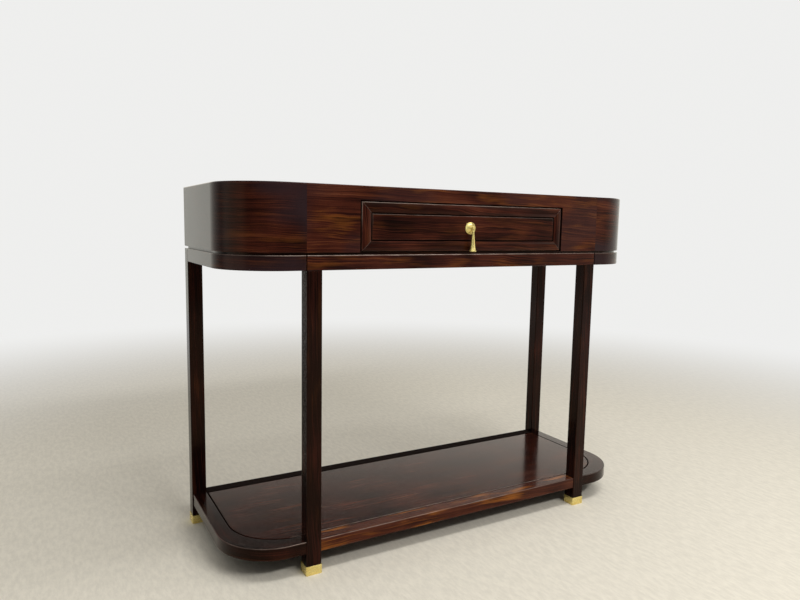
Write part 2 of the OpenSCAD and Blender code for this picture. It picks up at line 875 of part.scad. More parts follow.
// The pendant hangs from the pin: two ears, a bead, a neck and a cone that flares into a lip
module pull_pendant() {
    color(brass) difference() {
        union() {
            intersection() {
                along_pin(-fork_r) cylinder(r = ear_r, h = 2 * fork_r);
                on_pivot() translate([0, 0, -bead_drop]) cylinder(r = fork_r, h = bead_drop + ear_r);
            }
            on_pivot() translate([0, 0, -bead_drop]) cylinder(r = ear_r - ear_gap, h = bead_drop);
            on_pivot() translate([0, 0, -bead_drop]) sphere(r = ear_r);
            on_pivot() rotate_extrude() pendant_profile();
        }
        on_pivot() translate([-slot_w / 2, -2 * ear_r, -slot_floor]) cube([slot_w, 4 * ear_r, 4 * ear_r]);
        along_pin(-2 * fork_r) cylinder(r = pin_r + press_gap, h = 4 * fork_r);
    }
}

module on_pivot() {
    translate([0, pivot_y, front_mid_z]) children();
}

// Half profile of the pendant below its bead: a cone whose radius also grows with a high power of its length
module pendant_profile() {
    steps = 20;
    flare = 10;
    neck_end = -bead_drop - neck_l;
    cone_l = pendant_l - bead_drop - neck_l - lip_h;
    polygon(concat(
        [[0, -bead_drop], [neck_r, -bead_drop], [neck_r, neck_end]],
        [for (i = [1:steps]) let (t = i / steps)
            [neck_r + (cone_r - neck_r) * t + (lip_r - cone_r) * pow(t, flare), neck_end - cone_l * t]],
        [[lip_r, -pendant_l + lip_arris], [lip_r - lip_arris, -pendant_l], [0, -pendant_l]]
    ));
}

case_left_board();
case_right_board();
case_front_rail();
case_left_panel();
case_right_panel();
case_back_board();
case_bottom_board();
top_panel();
top_batten_left();
top_batten_centre();
top_batten_right();
drawer_guide_left();
drawer_guide_right();
drawer_runner_left();
drawer_runner_right();
drawer_back_stops();
drawer_catch();
waist_front_strip();
waist_back_strip();
waist_left_strip();
waist_right_strip();
apron_front_rail();
apron_back_rail();
apron_left_rail();
apron_right_rail();
front_left_leg();
front_right_leg();
back_left_leg();
back_right_leg();
front_left_foot_cap();
front_right_foot_cap();
back_left_foot_cap();
back_right_foot_cap();
foot_cap_screws();
shelf_front_rail();
shelf_back_rail();
shelf_left_rail();
shelf_right_rail();
shelf_panel();
shelf_batten_left();
shelf_batten_centre();
shelf_batten_right();
drawer_top_rail();
drawer_bottom_rail();
drawer_left_stile();
drawer_right_stile();
drawer_front_panel();
drawer_left_side();
drawer_right_side();
drawer_back();
drawer_bottom();
pull_rosette();
pull_post();
pull_washer();
pull_nut();
pull_hinge_pin();
pull_pendant();
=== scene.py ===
import math

import bpy
import numpy as np
from bpy.props import FloatProperty, FloatVectorProperty, PointerProperty
from mathutils import Matrix, Vector


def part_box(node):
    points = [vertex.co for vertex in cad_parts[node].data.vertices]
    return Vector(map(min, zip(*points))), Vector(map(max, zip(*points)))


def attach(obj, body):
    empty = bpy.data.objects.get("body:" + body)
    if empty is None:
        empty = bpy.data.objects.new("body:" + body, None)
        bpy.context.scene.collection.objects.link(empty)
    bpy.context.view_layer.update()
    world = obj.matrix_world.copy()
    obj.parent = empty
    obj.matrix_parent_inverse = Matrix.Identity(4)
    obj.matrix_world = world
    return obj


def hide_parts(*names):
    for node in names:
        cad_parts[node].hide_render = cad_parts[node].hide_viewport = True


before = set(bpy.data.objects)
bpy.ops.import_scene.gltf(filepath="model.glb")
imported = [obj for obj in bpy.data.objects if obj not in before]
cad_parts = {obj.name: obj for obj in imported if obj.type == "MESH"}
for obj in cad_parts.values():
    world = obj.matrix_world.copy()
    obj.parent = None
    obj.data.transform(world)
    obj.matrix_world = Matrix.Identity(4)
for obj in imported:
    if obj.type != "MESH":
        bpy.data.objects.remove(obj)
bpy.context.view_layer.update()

bl_info = {
    "name": "Console table",
    "version": (1, 0, 0),
    "blender": (4, 5, 0),
    "location": "View3D > Sidebar > Console table",
    "description": "Finishes, fine pieces, camera and studio for a one-drawer console table",
    "category": "Object",
}

MM = 0.001
CASE_LOW, CASE_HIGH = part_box("case_right_board")
FRONT_LOW, FRONT_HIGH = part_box("drawer_top_rail")
DRAWER_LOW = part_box("drawer_bottom_rail")[0]
OPENING_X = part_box("case_right_panel")[0].x
OPENING_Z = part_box("case_front_rail")[0].z
# Run along the plan from the middle of the front to where the painted highlight on the rails fades into the
# round corners.
BEND_START = 0.40
BEND_END = 0.55


def length(name, about, default, precision=4):
    """A length in metres that a user can change."""
    return FloatProperty(name=name, description=about, default=default, unit="LENGTH",
                         subtype="DISTANCE", min=0.0, precision=precision)


def colour(name, about, default):
    """A linear colour that a user can change."""
    return FloatVectorProperty(name=name, description=about, default=default, subtype="COLOR",
                               size=3, min=0.0, max=1.0)


def share(name, about, default, most=1.0):
    """A plain number from 0 to most that a user can change."""
    return FloatProperty(name=name, description=about, default=default, min=0.0, max=most,
                         subtype="FACTOR")


def tinted(tint, factors):
    """A colour with each channel times its own factor."""
    return tuple(value * factor for value, factor in zip(tint, factors))


class PlanSizes(bpy.types.PropertyGroup):
    """Sizes of the table's plan, and of the panels let into the top and the shelf."""
    corner: length("Corner radius", "Radius of the two round front corners", 130 * MM)
    shelf_corner: length("Shelf corner", "Radius of the D that the shelf's groove follows", 158 * MM)
    rail: length("Rail width", "Width of the rails round the panels", 35 * MM)
    reveal: length("Reveal", "Width of the dark groove round the panels", 3.5 * MM)


class FrontSizes(bpy.types.PropertyGroup):
    """Sizes of the drawer front's mitred frame."""
    width: length("Member width", "Width of the frame's four members", 23 * MM)
    crown: length("Crown", "Rise of the crown across a member's face", 1.5 * MM)
    arris: length("Outer arris", "Radius of the frame's outer arris", 2.5 * MM)
    depth: length("Thickness", "Thickness of the members", 20 * MM)
    mitre: length("Mitre easing", "Radius to which the mitres are eased", 1.0 * MM)
    groove_front: length("Groove", "Distance of the panel's groove behind the crown", 8.2 * MM)
    groove_width: length("Groove width", "Width of the panel's groove", 5.2 * MM)
    groove_depth: length("Groove depth", "Depth of the panel's groove", 5.2 * MM)
    reveal: length("Reveal", "Width of the dark groove round the panel", 2.5 * MM)
    recess: length("Recess", "Depth of the panel's face behind the crown", 1.2 * MM)


class CapSizes(bpy.types.PropertyGroup):
    """Sizes of the brass foot caps."""
    wall: length("Wall", "Wall of a cap", 1.2 * MM)
    corner: length("Corner", "Radius of a cap's outer corners", 2.3 * MM)
    ease: length("Easing", "Radius to which a cap's edges are eased", 0.45 * MM)
    floor: length("Floor", "Thickness of a cap's floor", 2.0 * MM)
    hole: length("Hole", "Radius of the screw's hole", 1.85 * MM)
    sink: length("Countersink", "Radius of the countersink", 3.6 * MM)


class WoodFinish(bpy.types.PropertyGroup):
    """Colours and gloss of the rosewood and of the drawer's plain wood."""
    # The vein colour also paints the shade in the gaps and grooves.
    vein_and_painted_shade: colour("Vein", "Near-black veins", (0.0035, 0.0011, 0.0010))
    heart: colour("Heart", "Dark heartwood", (0.019, 0.0044, 0.0032))
    ground: colour("Ground", "Red-brown ground", (0.055, 0.0128, 0.0070))
    streak: colour("Streak", "Lighter streaks", (0.120, 0.038, 0.0190))
    flame: colour("Flame", "Orange figure", (0.27, 0.088, 0.014))
    plum: colour("Plum", "Purple-grey heartwood", (0.024, 0.0135, 0.0160))
    gloss: share("Roughness", "Roughness of the lacquer", 0.14)
    index: FloatProperty(name="Index", description="Refractive index of the lacquer", default=1.31,
                         min=1.0, max=2.0)
    amber: colour("Amber", "Tint of the lacquer's mirror, seen square on", (0.65, 0.36, 0.25))
    # Painted highlight: a paler colour along lit edges and mitres that stands in for the lacquer's glint,
    # and how far it reaches from an edge.
    painted_highlight: colour("Rubbed edge", "Paler lacquer along rubbed edges", (0.42, 0.33, 0.28))
    painted_highlight_width: length("Rubbed width", "Distance from an edge that the rubbing reaches", 2.4 * MM)
    seed: FloatProperty(name="Seed", description="Where in the tree the planks are cut", default=1.8)
    plain_dark: colour("Plain wood, dark", "Late wood of the drawer box", (0.115, 0.052, 0.026))
    plain_light: colour("Plain wood, light", "Early wood of the drawer box", (0.22, 0.118, 0.062))


def look(name, about, tone, flame, plum):
    """A group of settings for the look of some planks."""
    settings = {
        "tone": FloatProperty(name="Tone", description="Lighter above 0, darker below", default=tone,
                              min=-0.5, max=0.5),
        "flame": share("Flame", "Amount of orange figure", flame),
        "plum": share("Plum", "Amount of purple-grey heartwood", plum),
    }
    return type(name, (bpy.types.PropertyGroup,), {"__doc__": about, "__annotations__": settings})


DeepLook = look("DeepLook", "Dark planks with plum heartwood.", -0.045, 0.15, 0.95)
LivelyLook = look("LivelyLook", "Red-brown planks with orange figure.", 0.008, 0.35, 0.4)
FlamedLook = look("FlamedLook", "Strongly figured planks.", 0.02, 0.9, 0.0)
QuietLook = look("QuietLook", "Even planks.", -0.02, 0.25, 0.1)
EvenLook = look("EvenLook", "The drawer front's straight-grained planks.", -0.045, 0.1, 0.0)
BlackLook = look("BlackLook", "Near-black planks of the legs.", -0.12, 0.05, 0.0)


class MetalFinish(bpy.types.PropertyGroup):
    """Colours and gloss of the brass and the steel."""
    brass: colour("Brass", "Satin brass", (0.92, 0.76, 0.29))
    brass_rough: share("Brass roughness", "Roughness of the satin brass", 0.24)
    brass_metal: share("Brass metal", "Share of the mirror in the satin brass", 0.75)
    steel: colour("Steel", "Plain steel", (0.50, 0.51, 0.53))


class StudioSettings(bpy.types.PropertyGroup):
    """The plain floor, the lamps and the surroundings."""
    floor: colour("Floor", "Pale floor", (0.78, 0.73, 0.62))
    backdrop: colour("Backdrop", "Pale surroundings", (0.86, 0.86, 0.85))
    dim: share("Dim side", "Brightness of the room in front, as the gloss mirrors it", 0.15)
    window: share("Window", "Brightness of the window at the left, as the gloss mirrors it", 1.04, 4.0)
    low: share("Low light", "Even light from the horizon", 0.06, 2.0)
    high: share("High light", "Even light from overhead", 0.8, 2.0)
    main: FloatProperty(name="Main lamp", description="Power of the lamp high in front", default=58.0,
                        min=0.0, unit="POWER")
    overhead: FloatProperty(name="Overhead lamp", description="Power of the lamp overhead", default=28.0,
                            min=0.0, unit="POWER")
    front: FloatProperty(name="Front lamp", description="Power of the low lamp in front", default=4.0,
                         min=0.0, unit="POWER")


class CameraSettings(bpy.types.PropertyGroup):
    """The photograph's camera, solved from the table's edges."""
    place: FloatVectorProperty(name="Place", description="Where the camera stands", size=3,
                               default=(-0.9019, -1.4456, 0.7706), subtype="TRANSLATION",
                               unit="LENGTH")
    yaw: FloatProperty(name="Yaw", description="Turn to the right of +Y", default=0.5167,
                       subtype="ANGLE", unit="ROTATION")
    pitch: FloatProperty(name="Pitch", description="Tilt above the horizon", default=-0.1165,
                         subtype="ANGLE", unit="ROTATION")
    roll: FloatProperty(name="Roll", description="Turn about the line of sight", default=-0.0178,
                        subtype="ANGLE", unit="ROTATION")
    focal: FloatProperty(name="Focal length", description="Millimetres on a 36 mm wide frame",
                         default=28.99, min=1.0, subtype="DISTANCE_CAMERA")


class Graph:
    """Adds nodes to a tree, sets or links their inputs, and gives back output sockets."""

    def __init__(self, tree):
        self.tree = tree
        tree.nodes.clear()

    def put(self, socket, value):
        """Links a socket to an input, or sets the input's own value."""
        if isinstance(value, bpy.types.NodeSocket):
            self.tree.links.new(value, socket)
        elif hasattr(socket.default_value, "__len__") and len(value) < len(socket.default_value):
            socket.default_value = (*value, 1.0)
        else:
            socket.default_value = value

    def add(self, kind, inputs=None, **settings):
        """A new node with its settings and inputs."""
        node = self.tree.nodes.new("ShaderNode" + kind)
        for key, value in settings.items():
            setattr(node, key, value)
        for key, value in (inputs or {}).items():
            self.put(node.inputs[key], value)
        return node

    def maths(self, operation, *values, clamp=False):
        """One step of arithmetic on numbers."""
        node = self.add("Math", dict(enumerate(values)), operation=operation, use_clamp=clamp)
        return node.outputs[0]

    def vector(self, operation, *values):
        """One step of arithmetic on vectors."""
        node = self.add("VectorMath", dict(enumerate(values)), operation=operation)
        return node.outputs[1 if operation in ("DOT_PRODUCT", "LENGTH") else 0]

    def smooth(self, value, low, high, to_low=0.0, to_high=1.0):
        """A smooth step of value between low and high."""
        inputs = {"Value": value, "From Min": low, "From Max": high, "To Min": to_low, "To Max": to_high}
        return self.add("MapRange", inputs, interpolation_type="SMOOTHSTEP").outputs[0]

    def noise(self, vector, scale, detail=2.0, roughness=0.5):
        """Noise whose grain is scaled differently along each axis."""
        stretched = self.vector("MULTIPLY", vector, scale)
        inputs = {"Vector": stretched, "Scale": 1.0, "Detail": detail, "Roughness": roughness}
        return self.add("TexNoise", inputs, noise_dimensions="3D")

    def sway(self, vector, scale, reach, detail):
        """A slow shift across the grain, up to half of reach either way."""
        drift = self.vector("SUBTRACT", self.noise(vector, scale, detail).outputs["Color"], (0.5, 0.5, 0.5))
        return self.vector("MULTIPLY", drift, (0.0, reach, reach))

    def rings(self, distance, scale, detail=2.0, roughness=0.5):
        """Noise of one number, such as the distance from a tree's pith."""
        inputs = {"W": self.maths("MULTIPLY", distance, scale), "Scale": 1.0, "Detail": detail,
                  "Roughness": roughness}
        return self.add("TexNoise", inputs, noise_dimensions="1D").outputs[0]

    def mix(self, factor, a, b, blend="MIX"):
        """A mix of two colours."""
        node = self.add("Mix", data_type="RGBA", blend_type=blend)
        self.put(node.inputs["Factor"], factor)
        self.put(node.inputs["A"], a)
        self.put(node.inputs["B"], b)
        return node.outputs["Result"]

    def ramp(self, value, stops):
        """A colour ramp with the given (place, colour) stops."""
        node = self.add("ValToRGB", {"Fac": value})
        elements = node.color_ramp.elements
        while len(elements) < len(stops):
            elements.new(0.5)
        for element, (place, tint) in zip(elements, stops):
            element.position = place
            element.color = (*tint, 1.0)
        return node.outputs[0]


SOCKETS = {"number": "NodeSocketFloat", "colour": "NodeSocketColor", "vector": "NodeSocketVector"}


def new_group(name, inputs, outputs):
    """A shader node group with named sockets: its graph, its input sockets and its output node."""
    tree = bpy.data.node_groups.new(name, "ShaderNodeTree")
    for way, sockets in (("INPUT", inputs), ("OUTPUT", outputs)):
        for label, kind in sockets:
            tree.interface.new_socket(label, in_out=way, socket_type=SOCKETS[kind])
    graph = Graph(tree)
    source = tree.nodes.new("NodeGroupInput").outputs
    return graph, source, tree.nodes.new("NodeGroupOutput")


def plan_run_group():
    """Coordinates that follow a D with the given corner radius: X is the run from the middle of the
    front, round the corner and back along the side, Y is the depth behind the D, and Z is the height.
    With a = |x| past the corner's centre and b = the reach in front of it, both at least 0, the run is
    min(|x|, centre) + radius * atan2(a, b) + the reach behind the centre, with the sign of x. The depth
    is the radius less the length of (a, b)."""
    graph, source, result = new_group("plan_run", [("Vector", "vector"), ("Corner", "number")],
                                      [("Vector", "vector")])
    corner = source["Corner"]
    centre_x = graph.maths("SUBTRACT", CASE_HIGH.x, corner)
    centre_y = graph.maths("ADD", corner, CASE_LOW.y)
    split = graph.add("SeparateXYZ", {0: source["Vector"]}).outputs
    wide = graph.maths("ABSOLUTE", split["X"])
    a = graph.maths("MAXIMUM", graph.maths("SUBTRACT", wide, centre_x), 0.0)
    b = graph.maths("MAXIMUM", graph.maths("SUBTRACT", centre_y, split["Y"]), 0.0)
    behind = graph.maths("MAXIMUM", graph.maths("SUBTRACT", split["Y"], centre_y), 0.0)
    turn = graph.maths("MULTIPLY", graph.maths("ARCTAN2", a, b), corner)
    run = graph.maths("ADD", graph.maths("MINIMUM", wide, centre_x), graph.maths("ADD", turn, behind))
    run = graph.maths("MULTIPLY", run, graph.maths("SIGN", split["X"]))
    reach = graph.vector("LENGTH", graph.add("CombineXYZ", {"X": a, "Y": b}).outputs[0])
    depth = graph.maths("SUBTRACT", corner, reach)
    joined = graph.add("CombineXYZ", {"X": run, "Y": depth, "Z": split["Z"]}).outputs[0]
    graph.put(result.inputs["Vector"], joined)
    return graph.tree


def rosewood_group(finish):
    """Rosewood in board coordinates, with X along the grain.
    The ring coordinate is a slanted sum of both directions across the grain, bent by slow noise. Rings,
    bands and fibres are noise of that coordinate, stretched along the grain. Flames are broad stretched
    noise that favours light rings, and pores are fine short noise. A noise's scale is in cells per metre,
    first along the grain."""
    graph, source, result = new_group(
        "rosewood",
        [("Vector", "vector"), ("Seed", "number"), ("Tone", "number"), ("Flame", "number"),
         ("Plum", "number")],
        [("Color", "colour"), ("Roughness", "number"), ("Height", "number")])
    start = graph.vector("SCALE", (1.7, 0.9, 1.3))
    graph.put(start.node.inputs["Scale"], source["Seed"])
    board = graph.vector("ADD", source["Vector"], start)
    wander = graph.sway(board, (1.5, 6.0, 6.0), 0.035, 1.0)
    ripple = graph.sway(board, (11.0, 30.0, 30.0), 0.009, 2.0)
    bent = graph.vector("ADD", board, graph.vector("ADD", wander, ripple))
    ring = graph.vector("DOT_PRODUCT", bent, (0.02, 0.68, 0.73))
    along = graph.add("SeparateXYZ", {0: bent}).outputs["X"]
    grown = graph.add("CombineXYZ", {"X": along, "Y": ring}).outputs[0]
    fine = graph.noise(grown, (4.5, 560.0, 1.0), 3.0, 0.6).outputs[0]
    broad = graph.noise(grown, (2.0, 130.0, 1.0), 1.0).outputs[0]
    fibre = graph.noise(grown, (12.0, 1500.0, 1.0), 2.0, 0.6).outputs[0]
    cloud = graph.noise(board, (9.0, 12.0, 12.0), 2.0).outputs[0]
    tone = graph.maths("MULTIPLY", fine, 0.38)
    for layer, weight in ((broad, 0.18), (fibre, 0.16), (cloud, 0.28)):
        tone = graph.maths("MULTIPLY_ADD", layer, weight, tone)
    tone = graph.maths("ADD", tone, source["Tone"])
    wood = graph.ramp(tone, [(0.36, finish.vein_and_painted_shade), (0.44, finish.heart), (0.53, finish.ground),
                             (0.66, finish.streak)])
    flame = graph.noise(bent, (9.0, 45.0, 45.0), 2.0, 0.5).outputs[0]
    flame = graph.maths("MULTIPLY_ADD", graph.maths("SUBTRACT", fine, 0.5), 0.6, flame)
    flame = graph.smooth(flame, 0.50, 0.76)
    flame = graph.maths("MULTIPLY", flame, source["Flame"], clamp=True)
    wood = graph.mix(flame, wood, tuple(finish.flame))
    patch = graph.noise(board, (6.0, 9.0, 9.0), 1.0).outputs[0]
    patch = graph.maths("MULTIPLY", graph.smooth(patch, 0.38, 0.60), source["Plum"])
    wood = graph.mix(patch, wood, tuple(finish.plum))
    pore = graph.noise(bent, (95.0, 2400.0, 2400.0), 1.0).outputs[0]
    pore = graph.smooth(pore, 0.60, 0.70)
    wood = graph.mix(graph.maths("MULTIPLY", pore, 0.45), wood, tuple(finish.vein_and_painted_shade))
    haze = graph.noise(board, (9.0, 14.0, 14.0), 3.0).outputs[0]
    rough = graph.maths("MULTIPLY_ADD", haze, 0.06, finish.gloss - 0.03)
    rough = graph.maths("MULTIPLY_ADD", pore, 0.08, rough)
    height = graph.maths("MULTIPLY_ADD", fibre, 0.35, graph.maths("MULTIPLY", pore, -1.0))
    for label, value in (("Color", wood), ("Roughness", rough), ("Height", height)):
        graph.put(result.inputs[label], value)
    return graph.tree


def plain_wood_group(finish):
    """The drawer box's plain wood in board coordinates: ring bands over stretched fibres, unpolished."""
    graph, source, result = new_group(
        "plain_wood", [("Vector", "vector"), ("Seed", "number")],
        [("Color", "colour"), ("Roughness", "number"), ("Height", "number")])
    start = graph.vector("SCALE", (1.1, 0.7, 0.4))
    graph.put(start.node.inputs["Scale"], source["Seed"])
    board = graph.vector("ADD", source["Vector"], start)
    bent = graph.vector("ADD", board, graph.sway(board, (3.0, 10.0, 10.0), 0.03, 2.0))
    split = graph.add("SeparateXYZ", {0: bent}).outputs
    flat = graph.add("CombineXYZ", {"X": graph.maths("ADD", split["Y"], 0.06), "Y": split["Z"]}).outputs[0]
    bands = graph.rings(graph.vector("LENGTH", flat), 240.0, 2.0)
    fibre = graph.noise(bent, (14.0, 700.0, 700.0), 2.0, 0.6).outputs[0]
    tone = graph.maths("MULTIPLY_ADD", fibre, 0.4, graph.maths("MULTIPLY", bands, 0.6))
    wood = graph.ramp(tone, [(0.38, finish.plain_dark), (0.62, finish.plain_light)])
    graph.put(result.inputs["Color"], wood)
    graph.put(result.inputs["Roughness"], graph.smooth(tone, 0.3, 0.7, 0.62, 0.5))
    graph.put(result.inputs["Height"], fibre)
    return graph.tree


def painted_highlight_group():
    """A mask along an edge, from the distances behind its two faces: 1 where both are nearly 0, and 0
    where either passes the width, broken up a little by noise."""
    graph, source, result = new_group(
        "painted_highlight_edge", [("Vector", "vector"), ("First", "number"), ("Second", "number"),
                        ("Width", "number")], [("Mask", "number")])
    masks = []
    for label in ("First", "Second"):
        inputs = {"Value": graph.maths("ABSOLUTE", source[label]), "From Min": source["Width"],
                  "From Max": 0.0}
        masks.append(graph.add("MapRange", inputs, interpolation_type="SMOOTHSTEP").outputs[0])
    patch = graph.smooth(graph.noise(source["Vector"], (30.0, 30.0, 30.0), 3.0).outputs[0], 0.3, 0.6, 0.5)
    mask = graph.maths("MULTIPLY", graph.maths("MULTIPLY", masks[0], masks[1]), patch)
    graph.put(result.inputs["Mask"], mask)
    return graph.tree


def new_material(name):
    """An empty material: its graph and its Principled shader, wired to the output."""
    material = bpy.data.materials.new(name)
    material.use_nodes = True
    graph = Graph(material.node_tree)
    shader = graph.add("BsdfPrincipled")
    output = graph.add("OutputMaterial")
    graph.put(output.inputs["Surface"], shader.outputs[0])
    return material, graph, shader


def plan_run(graph, place, corner):
    """Coordinates that follow a D with the given corner radius."""
    group = graph.add("Group", node_tree=bpy.data.node_groups["plan_run"])
    graph.put(group.inputs["Vector"], place)
    graph.put(group.inputs["Corner"], corner)
    return group.outputs["Vector"]


def board_coordinates(graph, lay):
    """Object coordinates with X along the grain, for grain along x, y or z or round the plan."""
    place = graph.add("TexCoord").outputs["Object"]
    if lay == "plan":
        return plan_run(graph, place, bpy.context.scene.table_plan.corner)
    if lay == "x":
        return place
    split = graph.add("SeparateXYZ", {0: place}).outputs
    order = {"y": "YXZ", "z": "ZXY"}[lay]
    return graph.add("CombineXYZ", dict(zip("XYZ", (split[axis] for axis in order)))).outputs[0]


def finish_node(name, material):
    """Gives a CAD node its material."""
    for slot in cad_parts[name].material_slots:
        slot.material = material


def mesh_piece(name, points, faces, body, material, replaced, smooth_degrees=35.0):
    """A new piece from points and faces: shaded smooth but for sharp edges, riding on its body."""
    mesh = bpy.data.meshes.new(name)
    mesh.from_pydata(points, [], faces)
    mesh.validate()
    mesh.shade_smooth()
    mesh.set_sharp_from_angle(angle=math.radians(smooth_degrees))
    mesh.materials.append(material)
    piece = bpy.data.objects.new(name, mesh)
    bpy.context.scene.collection.objects.link(piece)
    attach(piece, body)
    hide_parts(*replaced)
    return piece


def grid_faces(rows, columns, close_rows):
    """Quads between neighbouring points of a grid whose columns close round, and whose rows may too."""
    index = np.arange(rows * columns).reshape(rows, columns)
    first = index if close_rows else index[:-1]
    after = np.roll(index, -1, axis=0) if close_rows else index[1:]
    quads = np.stack([first, np.roll(first, -1, axis=1), np.roll(after, -1, axis=1), after], axis=-1)
    return quads.reshape(-1, 4).tolist()


# The planks: lie of the grain, look, and the boards cut from one plank, whose grain runs on. A plank's
# place in the list seeds its grain.
PLANKS = (
    ("plan", "deep", "case_left_board"),
    ("plan", "lively", "case_left_panel", "case_front_rail", "case_right_panel"),
    ("x", "quiet", "case_back_board"),
    ("x", "quiet", "top_panel"),
    ("plan", "black", "waist_front_strip", "waist_left_strip", "waist_right_strip"),
    ("x", "black", "waist_back_strip"),
    ("x", "quiet", "apron_front_rail"),
    ("x", "quiet", "apron_back_rail"),
    ("plan", "deep", "apron_left_rail"),
    ("plan", "deep", "apron_right_rail"),
    ("z", "black", "front_left_leg"),
    ("z", "black", "front_right_leg"),
    ("z", "black", "back_left_leg"),
    ("z", "black", "back_right_leg"),
    ("x", "flamed", "shelf_front_rail"),
    ("x", "quiet", "shelf_back_rail"),
    ("plan", "black", "shelf_left_rail"),
    ("plan", "black", "shelf_right_rail"),
    ("x", "even", "shelf_panel"),
    ("y", "quiet", "shelf_batten_left", "shelf_batten_centre", "shelf_batten_right"),
    ("x", "even", "drawer_front_panel"),
    ("x", "even", "drawer_top_rail"),
    ("x", "even", "drawer_bottom_rail"),
    ("z", "even", "drawer_left_stile"),
    ("z", "even", "drawer_right_stile"),
    ("plan", "deep", "case_right_board"),
)
PLAIN_BOARDS = {
    "case_bottom_board": "x", "top_batten_left": "y", "top_batten_centre": "y", "top_batten_right": "y",
    "drawer_guide_left": "y", "drawer_guide_right": "y", "drawer_runner_left": "y",
    "drawer_runner_right": "y", "drawer_back_stops": "x", "drawer_catch": "x", "drawer_left_side": "y",
    "drawer_right_side": "y", "drawer_back": "x", "drawer_bottom": "x",
}
FRAME_MEMBERS = ("drawer_top_rail", "drawer_bottom_rail", "drawer_left_stile", "drawer_right_stile")
PLAN_RAILS = ("apron_front_rail", "apron_left_rail", "apron_right_rail", "shelf_front_rail",
              "shelf_left_rail", "shelf_right_rail", "shelf_back_rail")
FOOT_CAPS = ("front_left_foot_cap", "front_right_foot_cap", "back_left_foot_cap", "back_right_foot_cap")
TURNED_BRASS = ("pull_rosette", "pull_post", "pull_hinge_pin", "pull_pendant")
STEEL_NODES = ("foot_cap_screws", "pull_washer", "pull_nut")


def painted_highlight_edge(graph, first, second):
    """The rubbed mask of an edge, from the distances behind its two faces."""
    inputs = {"Vector": graph.add("TexCoord").outputs["Object"], "First": first, "Second": second,
              "Width": bpy.context.scene.table_wood.painted_highlight_width}
    return graph.add("Group", inputs, node_tree=bpy.data.node_groups["painted_highlight_edge"]).outputs[0]


def rail_masks(graph, name):
    """Masks of a rail that runs round the plan: its rubbed outer upper edge, and for the shelf's rails
    the wall of the dark groove. The apron is rubbed most, and all rails less in the round corners and
    towards the right."""
    plan = bpy.context.scene.table_plan
    low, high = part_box(name)
    place = graph.add("TexCoord").outputs["Object"]
    split = graph.add("SeparateXYZ", {0: plan_run(graph, place, plan.corner)}).outputs
    behind = graph.maths("SUBTRACT", split["Y"], low.y - CASE_LOW.y)
    edge = painted_highlight_edge(graph, behind, graph.maths("SUBTRACT", high.z, split["Z"]))
    # The painted highlight's strength: full on the apron, less on the shelf, less again in the round
    # corners and towards the right.
    straight = 1.0 if name.startswith("apron") else 0.55
    round_corner = 0.25
    right_end = 0.45
    along = graph.smooth(graph.maths("ABSOLUTE", split["X"]), BEND_START, BEND_END, straight, round_corner)
    across = graph.smooth(split["X"], 0.0, BEND_START - 50 * MM, 1.0, right_end)
    painted_highlight = graph.maths("MULTIPLY", graph.maths("MULTIPLY", edge, along), across)
    if name.startswith("apron"):
        return painted_highlight, None
    inner = graph.add("SeparateXYZ", {0: plan_run(graph, place, plan.shelf_corner)}).outputs["Y"]
    inner = graph.maths("SUBTRACT", inner, plan.rail)
    return painted_highlight, graph.smooth(inner, -0.4 * MM, -0.1 * MM)


def inlay_masks(graph, name):
    """Masks of the panel let into the top or the shelf: its rubbed front edge, and the groove."""
    plan = bpy.context.scene.table_plan
    split = graph.add("SeparateXYZ", {0: graph.add("TexCoord").outputs["Object"]}).outputs
    behind = graph.maths("SUBTRACT", split["Y"], CASE_LOW.y + plan.rail + plan.reveal)
    below = graph.maths("SUBTRACT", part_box(name)[1].z, split["Z"])
    painted_highlight = graph.maths("MULTIPLY", painted_highlight_edge(graph, behind, below), 0.5)
    return painted_highlight, graph.smooth(below, 0.5 * MM, 1.2 * MM)


def opening_masks(graph, name):
    """Masks of a case board beside the drawer: no rubbed edge, but the faces of the opening.
    These lie where the larger of |x| and the height, each less its value at the opening, is near 0."""
    place = graph.add("SeparateXYZ", {0: graph.add("TexCoord").outputs["Object"]}).outputs
    across = graph.maths("SUBTRACT", graph.maths("ABSOLUTE", place["X"]), OPENING_X)
    above = graph.maths("SUBTRACT", place["Z"], OPENING_Z)
    near = graph.smooth(graph.maths("MAXIMUM", across, above), 1.2 * MM, 0.3 * MM)
    depth = graph.maths("SUBTRACT", place["Y"], CASE_LOW.y)
    return None, graph.maths("MULTIPLY", near, graph.smooth(depth, 0.2 * MM, 1.0 * MM))


